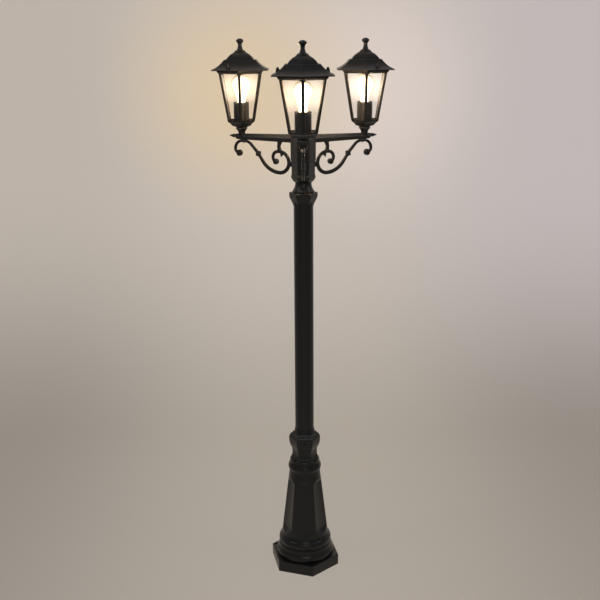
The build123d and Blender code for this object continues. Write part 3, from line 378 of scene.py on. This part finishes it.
def stage_colour(tree):
    """Warm grey with painted light and shade, lighter along the sheet's rise and darker low at
    its sides, and a painted glow round the lanterns.
    """
    place = surface_place(tree)
    parts = tree.nodes.new("ShaderNodeSeparateXYZ")
    link(tree, place, parts.inputs["Vector"])
    x, y, z = parts.outputs
    # painted light and shade: the sheet lighter up its rise and darker low at its sides
    rise = fade_node(tree, math_node(tree, "ADD", y, z), RISE_FROM, RISE_TO, 0, 1)
    rightward = fade_node(tree, x, -TINT_REACH, TINT_REACH, 0, 1)
    aside = fade_node(tree, math_node(tree, "ABSOLUTE", x, 0), SIDE_FROM, SIDE_TO, 0, 1)
    middle = blend_node(tree, rise, STAGE_LOW, STAGE_HIGH)
    high_side = blend_node(tree, rightward, STAGE_LEFT, STAGE_RIGHT)
    side = blend_node(tree, rise, STAGE_LOW_SIDE, high_side)
    shaded = blend_node(tree, aside, middle, side)
    # painted glow: the lanterns' light painted into the sheet's colour beside them
    right = painted_backdrop_glow(tree, place, PAINTED_GLOW_X, RIGHT_PAINTED_GLOW_SHARE)
    left = painted_backdrop_glow(tree, place, -PAINTED_GLOW_X, LEFT_PAINTED_GLOW_SHARE)
    return blend_node(tree, left, blend_node(tree, right, shaded, RIGHT_PAINTED_GLOW), LEFT_PAINTED_GLOW)


def stage_material():
    """Sheet that shows its colour mostly by itself, also through glass and in gloss.

    It shows from its front alone, so that it hides nothing from a view behind it.
    """
    material, tree, shader = new_material("backdrop")
    shader.inputs["Base Color"].default_value = (*STAGE_HIGH, 1)
    shader.inputs["Roughness"].default_value = STAGE_ROUGHNESS
    shader.inputs["Specular IOR Level"].default_value = STAGE_GLOSS
    shine = tree.nodes.new("ShaderNodeEmission")
    link(tree, stage_colour(tree), shine.inputs["Color"])
    paths = tree.nodes.new("ShaderNodeLightPath").outputs
    seen = paths["Is Camera Ray"]
    for path in ("Is Transmission Ray", "Is Glossy Ray"):
        seen = math_node(tree, "MAXIMUM", seen, paths[path])
    share = math_node(tree, "MULTIPLY", seen, STAGE_SHINE)
    sheet = mix_shaders(tree, share, shader.outputs["BSDF"], shine.outputs["Emission"])
    behind = tree.nodes.new("ShaderNodeNewGeometry").outputs["Backfacing"]
    set_surface(tree, mix_shaders(tree, behind, sheet, clear_shader(tree)))
    return material


def add_stage():
    """One seamless sheet: floor, bend and backdrop."""
    bend_y = BACKDROP_Y - BACKDROP_BEND
    profile = [(STAGE_FRONT, 0), (bend_y, 0)]
    for k in range(1, BEND_STEPS + 1):
        angle = math.pi / 2 * k / BEND_STEPS
        y = bend_y + BACKDROP_BEND * math.sin(angle)
        profile.append((y, BACKDROP_BEND * (1 - math.cos(angle))))
    profile.append((BACKDROP_Y, STAGE_TOP))
    points = []
    faces = []
    for k, (y, z) in enumerate(profile):
        points += [(-STAGE_WIDTH / 2, y, z), (STAGE_WIDTH / 2, y, z)]
        if k:
            faces.append((2 * k - 2, 2 * k - 1, 2 * k + 1, 2 * k))
    mesh = bpy.data.meshes.new("backdrop")
    mesh.from_pydata(points, [], faces)
    for polygon in mesh.polygons:
        polygon.use_smooth = True
    mesh.materials.append(stage_material())
    sheet = add_object("backdrop", mesh)


# Materials of the post


def grained_finish(name, colour, roughness, grain_size, grain):
    """Satin coat: fine grain in the gloss, a faint orange peel and softened edges."""
    material, tree, shader = new_material(name)
    shader.inputs["Base Color"].default_value = (*colour, 1)
    shader.inputs["Specular IOR Level"].default_value = FINISH_GLOSS
    shader.inputs["Coat Weight"].default_value = COAT
    shader.inputs["Coat Roughness"].default_value = COAT_ROUGHNESS
    noise = tree.nodes.new("ShaderNodeTexNoise")
    noise.inputs["Scale"].default_value = 1 / grain_size
    noise.inputs["Detail"].default_value = GRAIN_DETAIL
    link(tree, surface_place(tree), noise.inputs["Vector"])
    spread = tree.nodes.new("ShaderNodeMapRange")
    spread.inputs["To Min"].default_value = roughness - grain / 2
    spread.inputs["To Max"].default_value = roughness + grain / 2
    link(tree, noise.outputs["Fac"], spread.inputs["Value"])
    link(tree, spread.outputs["Result"], shader.inputs["Roughness"])
    soft = tree.nodes.new("ShaderNodeBevel")
    soft.samples = EDGE_SAMPLES
    soft.inputs["Radius"].default_value = EDGE_SOFTNESS
    bump = tree.nodes.new("ShaderNodeBump")
    bump.inputs["Strength"].default_value = PEEL
    bump.inputs["Distance"].default_value = grain_size * PEEL_PER_GRAIN
    link(tree, soft.outputs["Normal"], bump.inputs["Normal"])
    link(tree, noise.outputs["Fac"], bump.inputs["Height"])
    link(tree, bump.outputs["Normal"], shader.inputs["Normal"])
    return material


def pane_glass():
    """Clear glass that lets the lamps' light through, with a painted glow given off by the
    glass near them.
    """
    material, tree, shader = new_material("pane_glass")
    shader.inputs["Base Color"].default_value = PANE_COLOUR
    shader.inputs["Roughness"].default_value = 0
    shader.inputs["IOR"].default_value = PANE_IOR
    shader.inputs["Transmission Weight"].default_value = 1
    shader.inputs["Emission Color"].default_value = PANE_PAINTED_GLOW_COLOUR
    place = surface_place(tree)
    nearest, *others = [distance_node(tree, place, lamp_centre(side)) for side in SIDES]
    for away in others:
        nearest = math_node(tree, "MINIMUM", nearest, away)
    # painted glow: the panes give off warm light near each lamp, though they are no lamp
    glow = fade_node(tree, nearest, PANE_PAINTED_GLOW_FROM, PANE_PAINTED_GLOW_TO, PANE_PAINTED_GLOW, 0)
    link(tree, glow, shader.inputs["Emission Strength"])
    shadow = tree.nodes.new("ShaderNodeLightPath").outputs["Is Shadow Ray"]
    set_surface(tree, mix_shaders(tree, shadow, shader.outputs["BSDF"], clear_shader(tree)))
    return material


def lamp_glass():
    """Frosted glass of a lit lamp."""
    material, tree, shader = new_material("lamp_glass")
    shader.inputs["Base Color"].default_value = LAMP_COLOUR
    shader.inputs["Roughness"].default_value = LAMP_ROUGHNESS
    shader.inputs["Emission Color"].default_value = LAMP_GLOW_COLOUR
    weight = tree.nodes.new("ShaderNodeLayerWeight")
    weight.inputs["Blend"].default_value = LAMP_BLEND
    facing = weight.outputs["Facing"]
    glow = fade_node(tree, facing, LAMP_CORE, LAMP_EDGE, LAMP_GLOW, LAMP_EDGE_GLOW)
    link(tree, glow, shader.inputs["Emission Strength"])
    return material


MATERIALS = {name: grained_finish(name, *finish) for name, finish in FINISHES.items()}
MATERIALS["pane_glass"] = pane_glass()
MATERIALS["lamp_glass"] = lamp_glass()


def give_material(piece, slot):
    """Makes one slot's material the only one of a piece."""
    piece.data.materials.clear()
    piece.data.materials.append(MATERIALS[slot])


def dress_frame():
    """Gives every CAD node the material of its slot."""
    for part in frame["record"]["subparts"]:
        give_material(nodes[part["node"]], part["material_slot"])


# Mesh helpers


def tube_rings(rings):
    """Vertices and faces of a closed tube through rings of equal count."""
    points = [point for ring in rings for point in ring]
    count = len(rings[0])
    faces = []
    for k in range(len(rings) - 1):
        for j in range(count):
            a = k * count + j
            b = k * count + (j + 1) % count
            faces.append((a, b, b + count, a + count))
    faces.append(tuple(range(count))[::-1])
    last = (len(rings) - 1) * count
    faces.append(tuple(range(last, last + count)))
    return points, faces


def superellipse(half_width, half_depth, power):
    """Points of a rounded oblong, from round (power 2) to square (high powers)."""
    shape = []
    for k in range(STROKE_SIDES):
        angle = 2 * math.pi * k / STROKE_SIDES
        c, s = math.cos(angle), math.sin(angle)
        x = math.copysign(abs(c) ** (2 / power), c) * half_width
        y = math.copysign(abs(s) ** (2 / power), s) * half_depth
        shape.append((x, y))
    return shape


def stroke_points(start, heading, shares):
    """Points and headings along a stroke's arcs and runs."""
    x, y = start
    angle = math.radians(heading)
    places = [(x, y, angle)]
    for share, turn in shares:
        size = share * SPAN
        length = abs(math.radians(turn)) * size if turn else size
        count = max(FEWEST_STEPS, round(length / STROKE_STEP))
        for _ in range(count):
            if turn:
                change = math.radians(turn) / count
                chord = 2 * size * math.sin(abs(change) / 2)
                x += chord * math.cos(angle + change / 2)
                y += chord * math.sin(angle + change / 2)
                angle += change
            else:
                x += size / count * math.cos(angle)
                y += size / count * math.sin(angle)
            places.append((x, y, angle))
    return places


def table_value(table, share):
    """Value at a share of the way along a table of (share, value), eased between rows."""
    for (s0, v0), (s1, v1) in zip(table, table[1:]):
        if share <= s1:
            t = (share - s0) / (s1 - s0)
            t = t * t * (3 - 2 * t)
            return v0 + (v1 - v0) * t
    return table[-1][1]


def in_arm_plane(radius, height, side):
    """A point by the front arm's upright plane, in metres."""
    return Vector((side * MM, -radius * MM, height * MM))


def stroke_shell(places, widths, depths, power=STROKE_POWER):
    """Closed shell along planar places, with its width and depth from tables of shares."""
    rings = []
    last = len(places) - 1
    for k, (x, y, angle) in enumerate(places):
        half_width = table_value(widths, k / last) / 2
        half_depth = table_value(depths, k / last) / 2
        shape = superellipse(half_width, half_depth, power)
        normal = (-math.sin(angle), math.cos(angle))
        rings.append([in_arm_plane(x + u * normal[0], y + u * normal[1], v) for u, v in shape])
    return tube_rings(rings)


def button_shell(centre, stations, sides=BUTTON_SIDES):
    """Button turned about a sideways axis, alike on both faces."""
    x, y = centre
    line = [(r, half) for r, half in stations] + [(r, -half) for r, half in reversed(stations)]
    rings = []
    for r, half in line:
        ring = []
        for k in range(sides):
            angle = 2 * math.pi * k / sides
            ring.append(in_arm_plane(x + r * math.cos(angle), y + r * math.sin(angle), half))
        rings.append(ring)
    return tube_rings(rings)


def shells_to_piece(name, shells):
    """One piece of overlapping shells, their faces turned outwards."""
    mesh = bpy.data.meshes.new(name)
    points = []
    faces = []
    for shell_points, shell_faces in shells:
        base = len(points)
        points += shell_points
        faces += [tuple(base + k for k in face) for face in shell_faces]
    mesh.from_pydata(points, [], faces)
    mesh.validate()
    work = bmesh.new()
    work.from_mesh(mesh)
    bmesh.ops.recalc_face_normals(work, faces=work.faces)
    work.to_mesh(mesh)
    work.free()
    return add_object(name, mesh)


def fuse_cast(piece):
    """One skin over overlapping shells, eased at the joins as a casting is."""
    skin = piece.modifiers.new("skin", "REMESH")
    skin.mode = "VOXEL"
    skin.voxel_size = CAST_VOXEL
    skin.use_smooth_shade = True
    ease = piece.modifiers.new("ease", "SMOOTH")
    ease.factor = CAST_EASE
    ease.iterations = CAST_EASE_STEPS
    graph = bpy.context.evaluated_depsgraph_get()
    mesh = bpy.data.meshes.new_from_object(piece.evaluated_get(graph))
    piece.modifiers.clear()
    shells = piece.data
    piece.data = mesh
    bpy.data.meshes.remove(shells)


# Scroll brackets


def knot_shells(x, y, angle):
    """Collar across a stroke with a knob at each side."""
    along = (math.cos(angle), math.sin(angle))
    band = [(x + along[0] * step, y + along[1] * step, angle) for step in KNOT_STEPS]
    shells = [stroke_shell(band, KNOT_WIDTHS, KNOT_DEPTHS)]
    knob = [(KNOB_R * math.cos(a), KNOB_R * math.sin(a)) for a in KNOB_ANGLES]
    for way in (-KNOB_OUT, KNOB_OUT):
        centre = (x - along[1] * way, y + along[0] * way)
        shells.append(button_shell(centre, knob, KNOB_SIDES))
    return shells


def stem_shell(x, y):
    """Swayed stem from the top of the loop up to the arm."""
    rise = ARM_UNDER_Z - y
    stem = []
    for k in range(STEM_STEPS + 1):
        share = k / STEM_STEPS
        lean = math.atan2(rise, STEM_SWAY * math.pi * math.sin(2 * math.pi * share))
        stem.append((x + STEM_SWAY * math.sin(math.pi * share) ** 2, y + rise * share, lean))
    return stroke_shell(stem, STEM_WIDTHS, DEPTHS)


def leaf_shell(top_x, top_y):
    """Leaf that hangs from the inside of the loop."""
    leaf = []
    for k in range(LEAF_STEPS + 1):
        share = k / LEAF_STEPS
        x = top_x - LEAF_BASE + (LEAF_BASE - LEAF_TIP) * share
        leaf.append((x, top_y - LEAF_L * share, -math.pi / 2 + LEAF_LEAN * (1 - share)))
    return stroke_shell(leaf, LEAF_WIDTHS, LEAF_DEPTHS)


def lug_shell(end_x, end_y):
    """Lug from the head block to the lower end of the loop."""
    lug_z = ARM_UNDER_Z - LUG_DROP
    reach = end_x + LUG_OVERLAP - HEAD_FACE
    lug = []
    for k in range(LUG_STEPS + 1):
        share = k / LUG_STEPS
        lug.append((HEAD_FACE + reach * share, lug_z + (end_y - lug_z) * share ** 2 / 2, 0))
    return stroke_shell(lug, LUG_WIDTHS, LUG_DEPTHS, LUG_POWER)


def bracket_shells():
    """Volute and arch from the lantern, then the lower stroke and its coil at the block."""
    start = (ARM_REACH, ARM_UNDER_Z - ARCH_W / 2)
    volute = stroke_points(start, OUTWARDS, VOLUTE_SHARES)
    upper = stroke_points(start, INWARDS, UPPER_SHARES)
    knot_x, knot_y, knot_angle = upper[-1]
    lower = stroke_points((knot_x, knot_y), math.degrees(knot_angle), LOWER_SHARES)
    lug_x, lug_y, lug_angle = lower[-1]
    coil = stroke_points((lug_x, lug_y), math.degrees(lug_angle), COIL_SHARES)
    quarter = stroke_points((lug_x, lug_y), math.degrees(lug_angle), COIL_SHARES[:1])
    top_x, top_y, _ = quarter[-1]
    inner_button = [(r * INNER_BUTTON_SHARE, half) for r, half in OUTER_BUTTON]
    return [
        stroke_shell(volute, VOLUTE_WIDTHS, END_DEPTHS),
        stroke_shell(upper, UPPER_WIDTHS, DEPTHS),
        stroke_shell(lower, LOWER_WIDTHS, DEPTHS),
        stroke_shell(coil, COIL_WIDTHS, END_DEPTHS),
        button_shell(volute[-1][:2], OUTER_BUTTON),
        button_shell(coil[-1][:2], inner_button),
        *knot_shells(knot_x, knot_y, knot_angle),
        stem_shell(top_x, top_y),
        leaf_shell(top_x, top_y),
        lug_shell(lug_x, lug_y),
    ]


def side_turn(side):
    """Turn that takes a front piece to another arm."""
    return Matrix.Rotation(math.radians(ARM_ANGLES[side]), 4, "Z")


def add_brackets():
    """Front scroll bracket and its copies under the other two arms."""
    front = shells_to_piece("front_scroll_bracket", bracket_shells())
    fuse_cast(front)
    for side in SIDES:
        piece = front
        if side != "front":
            piece = add_object(f"{side}_scroll_bracket", front.data.copy())
            piece.data.transform(side_turn(side))
        give_material(piece, "casting_paint")
        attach(piece, "post")
        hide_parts(f"{side}_bracket")


bpy.context.scene.view_settings.view_transform = "Standard"
add_camera()
add_stage()
add_world_light()
dress_frame()
add_brackets()
for name, softbox in SOFTBOXES.items():
    add_softbox(name, *softbox)
for side in SIDES:
    add_lamp_light(side)
